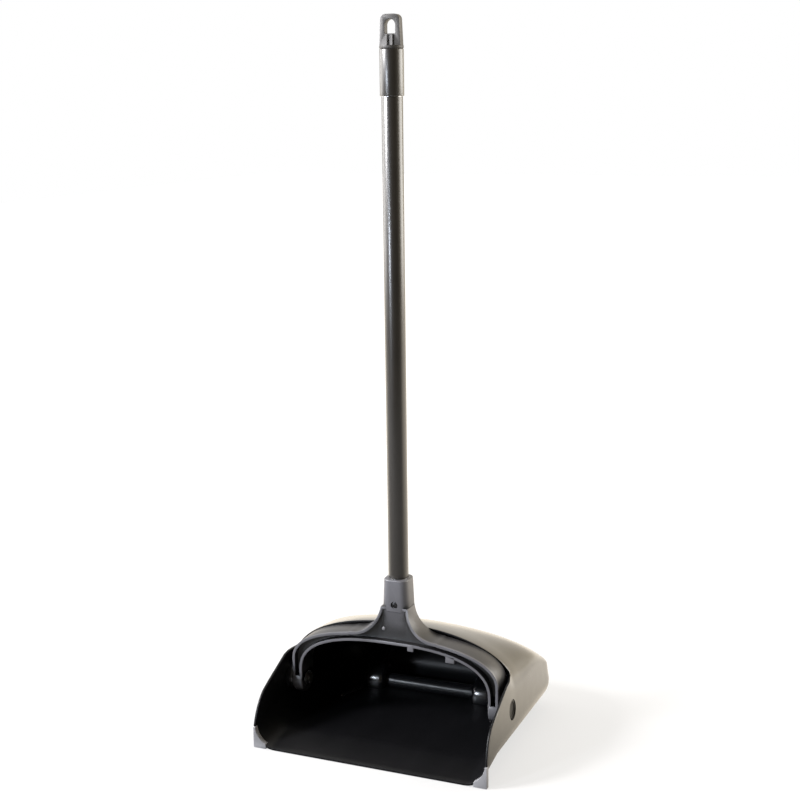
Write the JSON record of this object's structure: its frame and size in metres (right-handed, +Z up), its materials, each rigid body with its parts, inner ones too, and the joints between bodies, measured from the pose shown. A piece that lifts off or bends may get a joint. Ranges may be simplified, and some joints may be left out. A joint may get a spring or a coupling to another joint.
{
  "type": "lobby dustpan",
  "caption": "Upright lobby dustpan: a hooded black pan on small rear wheels, hung from a swinging yoke with a long tube handle that ends in a hanging loop.",
  "frame": {"origin": "on the floor, under the middle of the pan's length and width", "axes": "+Z up along the handle, -Y towards the pan's open mouth, X across the pan"},
  "size_m": [0.324, 0.286, 0.931],
  "materials": {
    "pan_plastic": "smooth black polypropylene with a soft shine",
    "yoke_plastic": "satin black polypropylene",
    "pad_plastic": "matte light grey",
    "wheel_rubber": "matte black",
    "vinyl": "satin dark brown-grey vinyl",
    "pin_plastic": "matte black nylon",
    "steel": "plain drawn steel"
  },
  "bodies": {
    "pan": {"pan_shell": "pan_plastic", "wear_pad_left": "pad_plastic", "wear_pad_right": "pad_plastic", "axle_rod": "steel", "pivot_pin_left": "pin_plastic", "pivot_pin_right": "pin_plastic", "pivot_clip_left": "steel", "pivot_clip_right": "steel"},
    "handle": {"yoke": "yoke_plastic", "handle_tube": "steel", "handle_cover": "vinyl", "socket_screw": "steel", "grip_sleeve": "vinyl", "hanger_loop": "yoke_plastic"},
    "wheel_l": {"wheel_left": "wheel_rubber"},
    "wheel_r": {"wheel_right": "wheel_rubber"}
  },
  "joints": [
    {"name": "handle_swing", "type": "hinge", "parent": "pan", "child": "handle", "pos_m": [0, -0.0385, 0.061], "axis": [1, 0, 0], "range_deg": [0, 90]},
    {"name": "wheel_left_spin", "type": "hinge", "parent": "pan", "child": "wheel_l", "pos_m": [-0.08, 0.085, 0.019], "axis": [1, 0, 0], "continuous": true},
    {"name": "wheel_right_spin", "type": "hinge", "parent": "pan", "child": "wheel_r", "pos_m": [0.08, 0.085, 0.019], "axis": [1, 0, 0], "continuous": true}
  ]
}
